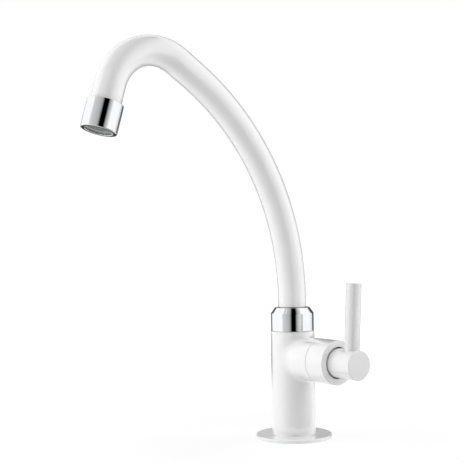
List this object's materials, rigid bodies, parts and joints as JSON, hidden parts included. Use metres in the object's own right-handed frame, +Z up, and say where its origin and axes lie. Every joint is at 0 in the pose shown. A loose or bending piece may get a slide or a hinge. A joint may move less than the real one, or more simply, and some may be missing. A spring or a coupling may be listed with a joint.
{
  "type": "kitchen tap",
  "caption": "Deck-mounted kitchen tap: column with a swivelling gooseneck spout, chrome collar and aerator ring, and a side valve with an upright lever rod.",
  "frame": {"origin": "centre of the base flange's underside, on the deck", "axes": "+Z up along the column, the spout points to -Y (front), the valve and lever to +X"},
  "size_m": [0.0974, 0.1974, 0.3429],
  "materials": {
    "white_coating": "smooth glossy white coating on brass",
    "bright_chrome": "polished chrome plate on brass",
    "bare_brass": "machined, bare",
    "zinc_steel": "pressed steel, zinc plated",
    "stainless": "plain stainless steel",
    "black_rubber": "matt black rubber",
    "red_fibre": "matt red vulcanised fibre",
    "white_acetal": "moulded acetal",
    "grey_alumina": "lapped alumina ceramic"
  },
  "bodies": {
    "tap_body": {"body_casting": "white_coating", "base_flange": "white_coating", "base_gasket": "black_rubber", "threaded_shank": "bare_brass", "shank_seal": "red_fibre", "spout_collar": "bright_chrome", "lower_glide_washer": "white_acetal", "upper_glide_washer": "white_acetal", "boss_sleeve": "white_coating", "headwork_body": "bare_brass", "headwork_seal": "red_fibre", "seat_seal": "black_rubber", "fixed_disc": "grey_alumina"},
    "clamp_washers": {"rubber_washer": "black_rubber", "clamp_washer": "zinc_steel"},
    "backnut": {"fixing_nut": "bare_brass"},
    "lever": {"moving_disc": "grey_alumina", "spindle": "bare_brass", "spindle_o_rings": "black_rubber", "spindle_washer": "white_acetal", "spindle_circlip": "stainless", "handle_hub": "white_coating", "lever_rod": "white_coating", "grub_screw": "stainless"},
    "spout": {"spout_foot": "bare_brass", "foot_o_rings": "black_rubber", "spout_tube": "white_coating", "outlet_nipple": "bare_brass", "aerator_ring": "bright_chrome", "aerator_gasket": "black_rubber", "aerator_cage": "white_acetal", "flow_diffuser": "white_acetal", "aerator_screens": "stainless"}
  },
  "joints": [
    {"name": "lever_turn", "type": "hinge", "parent": "tap_body", "child": "lever", "pos_m": [0.06185, 0, 0.0579], "axis": [1, 0, 0], "range_deg": [0, 90]},
    {"name": "spout_swivel", "type": "hinge", "parent": "tap_body", "child": "spout", "pos_m": [0, 0, 0.085], "axis": [0, 0, 1], "continuous": true},
    {"name": "washer_travel", "type": "slide", "parent": "tap_body", "child": "clamp_washers", "axis": [0, 0, -1], "range_m": [0, 0.0301]},
    {"name": "backnut_turn", "type": "hinge", "parent": "clamp_washers", "child": "backnut", "pos_m": [0, 0, -0.0116], "axis": [0, 0, -1], "range_deg": [0, 5953.7]}
  ],
  "couplings": [
    {"joint": "washer_travel", "follows": "backnut_turn", "m_per_rad": 0.00028871}
  ]
}
